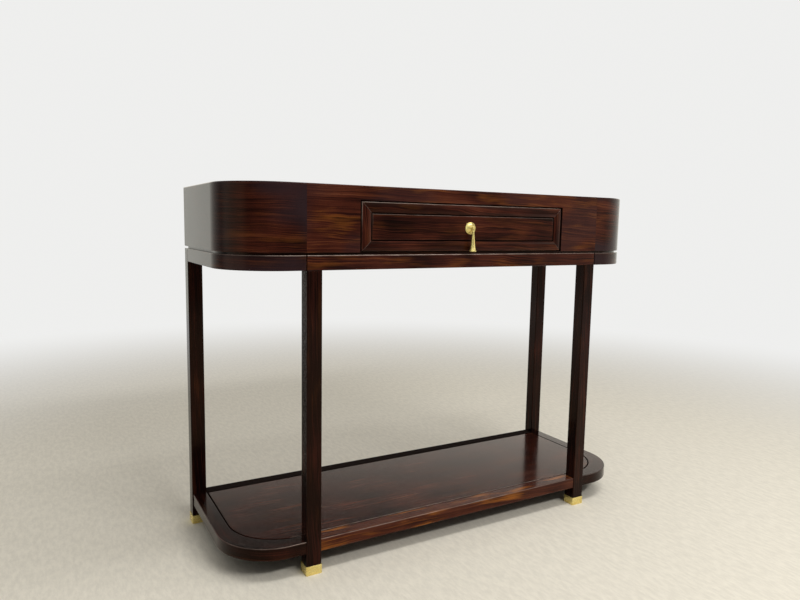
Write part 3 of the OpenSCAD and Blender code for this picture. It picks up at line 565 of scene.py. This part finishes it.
def front_masks(graph, name):
    """Masks of the drawer front: the rubbed upper edges and the mitres of its members, or the rubbed
    upper edges of its panel, and what lies in the gap and the groove round them.
    With a and b the distances inside the front's ends and its upper and lower edges, the nearest edge
    is min(a, b) away, and the mitres lie where a = b."""
    sizes = bpy.context.scene.table_front
    place = graph.add("SeparateXYZ", {0: graph.add("TexCoord").outputs["Object"]}).outputs
    a = graph.maths("SUBTRACT", FRONT_HIGH.x, graph.maths("ABSOLUTE", place["X"]))
    middle = (FRONT_HIGH.z + DRAWER_LOW.z) / 2
    b = graph.maths("ABSOLUTE", graph.maths("SUBTRACT", place["Z"], middle))
    b = graph.maths("SUBTRACT", FRONT_HIGH.z - middle, b)
    edge = graph.maths("MINIMUM", a, b)
    depth = graph.maths("SUBTRACT", place["Y"], FRONT_LOW.y)
    # The painted highlight is faint on the lower edges and towards the right, where less light catches
    # them.
    lower_edge = 0.08
    right_end = 0.3
    upper = graph.smooth(place["Z"], middle - 10 * MM, FRONT_HIGH.z, lower_edge, 1.0)
    upper = graph.maths("MULTIPLY", upper, graph.smooth(place["X"], 0.1, 0.4, 1.0, right_end))
    if name not in FRAME_MEMBERS:
        field = graph.maths("SUBTRACT", edge, sizes.width + sizes.reveal)
        face = graph.maths("SUBTRACT", depth, sizes.recess)
        painted_highlight = graph.maths("MULTIPLY", painted_highlight_edge(graph, field, face), 0.35)
        return graph.maths("MULTIPLY", painted_highlight, upper), graph.smooth(face, 0.4 * MM, 1.0 * MM)
    arris = painted_highlight_edge(graph, edge, graph.maths("SUBTRACT", depth, sizes.crown + 0.2 * sizes.arris))
    mitre = painted_highlight_edge(graph, graph.maths("MULTIPLY", graph.maths("SUBTRACT", a, b), 2.0), 0.0)
    painted_highlight = graph.maths("MAXIMUM", graph.maths("MULTIPLY", arris, upper),
                         graph.maths("MULTIPLY", mitre, 0.25))
    wall = graph.smooth(edge, sizes.width - 0.9 * MM, sizes.width - 0.3 * MM)
    side = graph.smooth(depth, sizes.crown + 0.4 * sizes.arris, sizes.crown + 0.9 * sizes.arris)
    return painted_highlight, graph.maths("MAXIMUM", wall, side)


MASKS = ((PLAN_RAILS, rail_masks), (("top_panel", "shelf_panel"), inlay_masks),
         (("case_front_rail", "case_left_panel", "case_right_panel"), opening_masks),
         ((*FRAME_MEMBERS, "drawer_front_panel"), front_masks))


def rosewood_material(name):
    """The rosewood of one board, with its own seed and tone."""
    finish = bpy.context.scene.table_wood
    number, lie, plank = next((k, row[0], row[1]) for k, row in enumerate(PLANKS) if name in row)
    chosen = getattr(bpy.context.scene, "table_" + plank)
    material, graph, shader = new_material("rosewood_" + name)
    wood = graph.add("Group", node_tree=bpy.data.node_groups["rosewood"])
    values = {"Vector": board_coordinates(graph, lie), "Seed": finish.seed + 1.31 * number,
              "Tone": chosen.tone, "Flame": chosen.flame, "Plum": chosen.plum}
    for label, value in values.items():
        graph.put(wood.inputs[label], value)
    bump = graph.add("Bump", {"Strength": 0.12, "Distance": 0.0003, "Height": wood.outputs["Height"]})
    tint = wood.outputs["Color"]
    rough = wood.outputs["Roughness"]
    # Each board's masks give a painted highlight along lit edges and mitres, and painted shade in gaps,
    # grooves and the opening, drawn in the vein colour.
    for names, masks in MASKS:
        if name in names:
            painted_highlight, painted_shade = masks(graph, name)
            if painted_highlight is not None:
                tint = graph.mix(painted_highlight, tint, tuple(finish.painted_highlight))
            if painted_shade is not None:
                tint = graph.mix(painted_shade, tint, tuple(finish.vein_and_painted_shade))
                rough = graph.maths("MAXIMUM", rough, painted_shade)
    graph.put(shader.inputs["Base Color"], tint)
    graph.put(shader.inputs["Roughness"], rough)
    graph.put(shader.inputs["Normal"], bump.outputs[0])
    shader.inputs["IOR"].default_value = finish.index
    shader.inputs["Specular Tint"].default_value = (*finish.amber, 1.0)
    return material


class TABLE_OT_rosewood(bpy.types.Operator):
    """Gives every outer board its own piece of lacquered rosewood"""
    bl_idname = "console_table.rosewood"
    bl_label = "Rosewood boards"

    def execute(self, context):
        plan_run_group()
        rosewood_group(context.scene.table_wood)
        painted_highlight_group()
        for lie, plank, *boards in PLANKS:
            for name in boards:
                if name not in FRAME_MEMBERS:
                    finish_node(name, rosewood_material(name))
        return {"FINISHED"}


class TABLE_OT_plain_wood(bpy.types.Operator):
    """Gives the drawer box and the inner framing their unpolished wood"""
    bl_idname = "console_table.plain_wood"
    bl_label = "Drawer box and framing"

    def execute(self, context):
        plain_wood_group(context.scene.table_wood)
        for number, (name, lay) in enumerate(PLAIN_BOARDS.items()):
            material, graph, shader = new_material("plain_wood_" + name)
            wood = graph.add("Group", node_tree=bpy.data.node_groups["plain_wood"])
            graph.put(wood.inputs["Vector"], board_coordinates(graph, lay))
            graph.put(wood.inputs["Seed"], 0.37 * number)
            bump = graph.add("Bump", {"Strength": 0.2, "Distance": 0.0004,
                                      "Height": wood.outputs["Height"]})
            graph.put(shader.inputs["Base Color"], wood.outputs["Color"])
            graph.put(shader.inputs["Roughness"], wood.outputs["Roughness"])
            graph.put(shader.inputs["Normal"], bump.outputs[0])
            finish_node(name, material)
        return {"FINISHED"}


def member_section(sizes):
    """A member's section as (distance from the outer edge, depth behind the crown), once round.
    The face is a circular arc through both edges with its crest in the middle, the outer arris is a
    quarter circle, and the inner edge has the panel's groove."""
    half = sizes.width / 2
    radius = (half ** 2 + sizes.crown ** 2) / (2 * sizes.crown)
    reach = np.linspace(sizes.arris, sizes.width, 20)
    face = np.column_stack([reach, radius - np.sqrt(radius ** 2 - (reach - half) ** 2)])
    turn = np.linspace(0.0, math.pi / 2, 8, endpoint=False)
    arris = np.column_stack([sizes.arris * (1 - np.cos(turn)),
                             face[0, 1] + sizes.arris * (1 - np.sin(turn))])
    back = sizes.groove_front + sizes.groove_width
    floor = sizes.width - sizes.groove_depth
    groove = np.array([[sizes.width, sizes.groove_front], [floor, sizes.groove_front],
                       [floor, back], [sizes.width, back], [sizes.width, sizes.depth],
                       [0.0, sizes.depth]])
    return np.vstack([arris, face, groove]), len(arris) + len(face)


def mitred_member(sizes, run):
    """A member of the given outer length lying along X, its outer edge at z = 0 and its face at y = 0.
    The section is carried along X, and each station near an end lies at the same distance from the
    45 degree mitre. There the face drops back along a quarter circle, which eases the mitre."""
    section, faced = member_section(sizes)
    count = len(section)
    away = sizes.mitre * np.array([0.0, 0.06, 0.22, 0.5, 1.0])
    drop = sizes.mitre - np.sqrt(sizes.mitre ** 2 - (sizes.mitre - away) ** 2)
    front = np.zeros(count)
    front[:faced] = 1.0
    rows = []
    for side in (-1.0, 1.0):
        order = slice(None) if side < 0 else slice(None, None, -1)
        x = side * (run / 2 - section[None, :, 0] - away[order, None])
        y = section[None, :, 1] + front[None, :] * drop[order, None]
        z = np.broadcast_to(-section[None, :, 0], x.shape)
        rows.append(np.stack([x, y, z], axis=-1))
    points = np.concatenate(rows).reshape(-1, 3)
    faces = grid_faces(2 * len(away), count, False)
    faces.append(list(range(count))[::-1])
    faces.append(list(range(len(points) - count, len(points))))
    return points, [face[::-1] for face in faces]


class TABLE_OT_drawer_frame(bpy.types.Operator):
    """Makes the drawer front's four crowned members with eased mitres"""
    bl_idname = "console_table.drawer_frame"
    bl_label = "Drawer front frame"

    def execute(self, context):
        sizes = context.scene.table_front
        middle = Vector((0.0, FRONT_LOW.y, (FRONT_HIGH.z + DRAWER_LOW.z) / 2))
        wide = FRONT_HIGH.x - FRONT_LOW.x
        high = FRONT_HIGH.z - DRAWER_LOW.z
        turns = {"drawer_top_rail": (0, wide, high), "drawer_bottom_rail": (180, wide, high),
                 "drawer_right_stile": (90, high, wide), "drawer_left_stile": (-90, high, wide)}
        for name, (degrees, run, across) in turns.items():
            points, faces = mitred_member(sizes, run)
            points[:, 2] += across / 2
            turn = np.array(Matrix.Rotation(math.radians(degrees), 3, "Y"))
            points = points @ turn.T + np.array(middle)
            mesh_piece(name + "_eased", points, faces, "drawer", rosewood_material(name),
                       [name], 20.0)
        return {"FINISHED"}


def brass_material(name, seed, brushed):
    """Satin brass: a slight change of tone, and fine handling marks in its roughness and normal."""
    finish = bpy.context.scene.table_metal
    material, graph, shader = new_material(name)
    place = graph.vector("ADD", graph.add("TexCoord").outputs["Object"], (seed, seed, 0.0))
    cloud = graph.noise(place, (60.0, 60.0, 60.0), 3.0).outputs[0]
    marks = graph.noise(place, brushed, 2.0, 0.6).outputs[0]
    handled = tinted(finish.brass, (0.86, 0.80, 0.66))
    graph.put(shader.inputs["Base Color"],
              graph.mix(graph.smooth(cloud, 0.35, 0.75), tuple(finish.brass), handled))
    rough = graph.maths("MULTIPLY_ADD", marks, 0.16, finish.brass_rough - 0.08)
    graph.put(shader.inputs["Roughness"], graph.maths("MULTIPLY_ADD", cloud, 0.08, rough))
    bump = graph.add("Bump", {"Strength": 0.15, "Distance": 0.0001, "Height": marks})
    graph.put(shader.inputs["Normal"], bump.outputs[0])
    shader.inputs["Metallic"].default_value = finish.brass_metal
    return material


class TABLE_OT_pull(bpy.types.Operator):
    """Polishes the drop pull's brass"""
    bl_idname = "console_table.pull"
    bl_label = "Drop pull"

    def execute(self, context):
        for number, name in enumerate(TURNED_BRASS):
            finish_node(name, brass_material("brass_" + name, 0.3 * number, (900.0, 900.0, 300.0)))
        return {"FINISHED"}


def cap_surface(sizes, low, high):
    """A foot cap as one closed surface, carried round a rounded square.
    Each ring is that square drawn in by a distance, at a height; the rings of the screw's hole are
    circles at the same polar angles. Edges are eased by quarter circles."""
    centre = (np.array(low) + np.array(high)) / 2
    half = (np.array(high) - np.array(low))[:2] / 2
    turn = np.linspace(0.0, math.pi / 2, 9)
    corners = []
    for quarter in range(4):
        angle = turn + quarter * math.pi / 2
        sign = np.array([(1, 1), (-1, 1), (-1, -1), (1, -1)][quarter])
        corners.append(np.column_stack([np.cos(angle), np.sin(angle), np.tile(sign, (len(turn), 1))]))
    path = np.vstack(corners)

    def ring(inset, z):
        radius = max(sizes.corner - inset, 0.2 * MM)
        place = path[:, 2:] * (half - inset - radius) + path[:, :2] * radius
        return np.column_stack([place, np.full(len(place), z)])

    def circle(radius, z):
        place = ring(0.0, 0.0)[:, :2]
        place = place / np.linalg.norm(place, axis=1, keepdims=True) * radius
        return np.column_stack([place, np.full(len(place), z)])

    ease = sizes.ease
    curve = np.linspace(0.0, math.pi / 2, 5)
    top = high.z
    rings = [ring(ease * (1 - np.sin(t)), ease * (1 - np.cos(t))) for t in curve]
    rings += [ring(ease * (1 - np.cos(t)), top - ease * (1 - np.sin(t))) for t in curve]
    rings += [ring(sizes.wall - 0.1 * MM, top), ring(sizes.wall, top - 0.1 * MM),
              ring(sizes.wall, sizes.floor), circle(sizes.hole, sizes.floor),
              circle(sizes.hole, sizes.sink - sizes.hole), circle(sizes.sink, 0.0)]
    points = np.stack(rings)
    points[:, :, :2] += centre[:2]
    return points.reshape(-1, 3), grid_faces(len(rings), len(path), True)


class TABLE_OT_foot_caps(bpy.types.Operator):
    """Makes the four brass foot caps with eased edges and countersunk holes"""
    bl_idname = "console_table.foot_caps"
    bl_label = "Foot caps"

    def execute(self, context):
        for number, name in enumerate(FOOT_CAPS):
            points, faces = cap_surface(context.scene.table_caps, *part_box(name))
            material = brass_material("brass_" + name, 1.7 * number, (120.0, 120.0, 1500.0))
            mesh_piece(name + "_eased", points, faces, "case", material, [name], 30.0)
        return {"FINISHED"}


class TABLE_OT_steel(bpy.types.Operator):
    """Finishes the nut, the washer and the cap screws in plain steel"""
    bl_idname = "console_table.steel"
    bl_label = "Nut, washer and screws"

    def execute(self, context):
        material, graph, shader = new_material("steel_plain")
        place = graph.add("TexCoord").outputs["Object"]
        marks = graph.noise(place, (700.0, 700.0, 700.0), 3.0, 0.6).outputs[0]
        steel = tuple(context.scene.table_metal.steel)
        dark = tuple(0.7 * value for value in steel)
        graph.put(shader.inputs["Base Color"], graph.mix(marks, dark, steel))
        graph.put(shader.inputs["Roughness"], graph.smooth(marks, 0.3, 0.7, 0.28, 0.45))
        shader.inputs["Metallic"].default_value = 1.0
        for name in STEEL_NODES:
            finish_node(name, material)
        return {"FINISHED"}


def soft_lamp(name, place, aim, size, power, mirrored):
    """A rectangular soft lamp that shines from place towards aim."""
    data = bpy.data.lights.new(name, "AREA")
    data.shape = "RECTANGLE"
    data.size, data.size_y = size
    data.energy = power
    lamp = bpy.data.objects.new(name, data)
    bpy.context.scene.collection.objects.link(lamp)
    lamp.location = place
    lamp.rotation_euler = (Vector(aim) - Vector(place)).to_track_quat("-Z", "Y").to_euler()
    lamp.visible_glossy = mirrored
    lamp.visible_camera = False
    return lamp


def studio_world(studio):
    """Even surroundings: plain for the camera, and even for diffuse light. The gloss mirrors a room that is
    dim in front, pale behind and to the right, brightest low behind, and has a window at the left.
    A direction's height is the sine of its elevation."""
    world = bpy.data.worlds.new("studio")
    bpy.context.scene.world = world
    world.use_nodes = True
    graph = Graph(world.node_tree)
    way = graph.add("TexCoord").outputs["Generated"]
    height = graph.add("SeparateXYZ", {0: way}).outputs["Z"]
    flat = graph.vector("NORMALIZE", graph.vector("MULTIPLY", way, (1.0, 1.0, 0.0)))
    behind_right = graph.vector("DOT_PRODUCT", flat, (0.75, 0.66, 0.0))
    left = graph.vector("DOT_PRODUCT", flat, (-1.0, 0.0, 0.0))
    dim = tuple(studio.dim * value for value in (0.94, 1.0, 0.97))
    window = tuple(studio.window * value for value in (0.88, 1.0, 0.93))
    side = tinted(studio.backdrop, (1.22, 1.22, 1.12))
    warm = tinted(studio.backdrop, (1.12, 1.05, 0.95))
    bright = tuple(1.55 * value for value in warm)
    shaded = tuple(0.06 * value for value in warm)
    front = graph.mix(graph.smooth(height, 0.12, 0.40), dim, tuple(studio.backdrop))
    behind = graph.mix(graph.smooth(height, 0.05, 0.25), side, bright)
    behind = graph.mix(graph.smooth(height, 0.28, 0.46), behind, shaded)
    mirrored = graph.mix(graph.smooth(behind_right, -0.6, 0.75), front, behind)
    mirrored = graph.mix(graph.smooth(left, 0.85, 0.98), mirrored, window)
    path = graph.add("LightPath").outputs
    level = graph.smooth(height, 0.2, 1.0, studio.low, studio.high)
    even = graph.add("Background", {"Color": (1.0, 0.99, 0.97), "Strength": level}).outputs[0]
    glossy = graph.add("Background", {"Color": mirrored, "Strength": 1.0}).outputs[0]
    plain = graph.add("Background", {"Color": tuple(studio.backdrop), "Strength": 1.0}).outputs[0]
    lit = graph.add("MixShader", {0: path["Is Glossy Ray"], 1: even, 2: glossy}).outputs[0]
    seen = graph.maths("MAXIMUM", path["Is Camera Ray"], path["Is Transmission Ray"])
    shown = graph.add("MixShader", {0: seen, 1: lit, 2: plain}).outputs[0]
    output = graph.add("OutputWorld")
    graph.put(output.inputs["Surface"], shown)


def studio_floor(studio):
    """A pale floor with a faint weave that fades into the surroundings far from the table."""
    mesh = bpy.data.meshes.new("floor")
    reach = 4.0
    corners = [(-reach, -reach, 0.0), (reach, -reach, 0.0), (reach, reach, 0.0), (-reach, reach, 0.0)]
    mesh.from_pydata(corners, [], [(0, 1, 2, 3)])
    floor = bpy.data.objects.new("floor", mesh)
    bpy.context.scene.collection.objects.link(floor)
    material, graph, shader = new_material("pale_floor")
    place = graph.add("TexCoord").outputs["Object"]
    fleck = graph.noise(place, (90.0, 30.0, 1.0), 4.0, 0.7).outputs[0]
    pale = tuple(studio.floor)
    graph.put(shader.inputs["Base Color"],
              graph.mix(graph.smooth(fleck, 0.3, 0.7), tuple(0.88 * value for value in pale), pale))
    shader.inputs["Roughness"].default_value = 0.9
    shader.inputs["Specular IOR Level"].default_value = 0.1
    far = graph.smooth(graph.vector("LENGTH", place), 1.2, 3.6)
    path = graph.add("LightPath").outputs
    seen = graph.maths("MAXIMUM", path["Is Camera Ray"], path["Is Transmission Ray"])
    seen = graph.maths("MULTIPLY", far, graph.maths("MAXIMUM", seen, path["Is Glossy Ray"]))
    glow = graph.add("Emission", {"Color": tuple(studio.backdrop), "Strength": 1.0}).outputs[0]
    blend = graph.add("MixShader", {0: seen, 1: shader.outputs[0], 2: glow}).outputs[0]
    graph.put(graph.tree.nodes["Material Output"].inputs["Surface"], blend)
    mesh.materials.append(material)


class TABLE_OT_stage(bpy.types.Operator):
    """Sets up the pale floor, the surroundings and the soft lamps"""
    bl_idname = "console_table.stage"
    bl_label = "Floor and lamps"

    def execute(self, context):
        studio = context.scene.table_studio
        context.scene.view_settings.view_transform = "Standard"
        studio_world(studio)
        studio_floor(studio)
        soft_lamp("main_lamp", (0.6, -2.9, 2.75), (0.3, -0.4, 0.0), (1.9, 0.3), studio.main, False)
        soft_lamp("overhead_lamp", (0.6, -0.9, 2.75), (0.6, -0.8, 0.0), (2.2, 0.35), studio.overhead, True)
        soft_lamp("front_lamp", (-1.8, -2.9, 0.4), (-0.2, 0.0, 0.45), (2.0, 0.7), studio.front, False)
        return {"FINISHED"}


class TABLE_OT_camera(bpy.types.Operator):
    """Puts the camera where the photograph was taken"""
    bl_idname = "console_table.camera"
    bl_label = "Camera"

    def execute(self, context):
        chosen = context.scene.table_camera
        data = bpy.data.cameras.new("photograph")
        data.sensor_width = 36.0
        data.lens = chosen.focal
        data.dof.use_dof = False
        camera = bpy.data.objects.new("photograph", data)
        context.scene.collection.objects.link(camera)
        sight = Vector((math.sin(chosen.yaw) * math.cos(chosen.pitch),
                        math.cos(chosen.yaw) * math.cos(chosen.pitch), math.sin(chosen.pitch)))
        level = Vector((math.cos(chosen.yaw), -math.sin(chosen.yaw), 0.0))
        down = sight.cross(level)
        right = math.cos(chosen.roll) * level + math.sin(chosen.roll) * down
        down = math.cos(chosen.roll) * down - math.sin(chosen.roll) * level
        turn = Matrix((right, -down, -sight)).transposed().to_4x4()
        camera.matrix_world = Matrix.Translation(Vector(chosen.place)) @ turn
        context.scene.camera = camera
        return {"FINISHED"}


OPERATORS = (TABLE_OT_camera, TABLE_OT_rosewood, TABLE_OT_plain_wood, TABLE_OT_drawer_frame,
             TABLE_OT_pull, TABLE_OT_foot_caps, TABLE_OT_steel, TABLE_OT_stage)
SETTINGS = {"table_plan": PlanSizes, "table_front": FrontSizes, "table_caps": CapSizes,
            "table_wood": WoodFinish, "table_deep": DeepLook, "table_lively": LivelyLook,
            "table_flamed": FlamedLook, "table_quiet": QuietLook, "table_even": EvenLook,
            "table_black": BlackLook, "table_metal": MetalFinish, "table_studio": StudioSettings,
            "table_camera": CameraSettings}


class TABLE_PT_console(bpy.types.Panel):
    """Lists the table's operators and settings"""
    bl_idname = "TABLE_PT_console"
    bl_label = "Console table"
    bl_space_type = "VIEW_3D"
    bl_region_type = "UI"
    bl_category = "Console table"

    def draw(self, context):
        for operator in OPERATORS:
            self.layout.operator(operator.bl_idname)
        for name, group in SETTINGS.items():
            box = self.layout.box()
            for key in group.__annotations__:
                box.prop(getattr(context.scene, name), key)


def register():
    for group in SETTINGS.values():
        bpy.utils.register_class(group)
    for name, group in SETTINGS.items():
        setattr(bpy.types.Scene, name, PointerProperty(type=group))
    for operator in OPERATORS:
        bpy.utils.register_class(operator)
    bpy.utils.register_class(TABLE_PT_console)


def unregister():
    bpy.utils.unregister_class(TABLE_PT_console)
    for operator in reversed(OPERATORS):
        bpy.utils.unregister_class(operator)
    for name, group in SETTINGS.items():
        delattr(bpy.types.Scene, name)
        bpy.utils.unregister_class(group)


def main():
    register()
    for operator in OPERATORS:
        section, name = operator.bl_idname.split(".")
        getattr(getattr(bpy.ops, section), name)()
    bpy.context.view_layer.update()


if __name__ == "__main__":
    main()
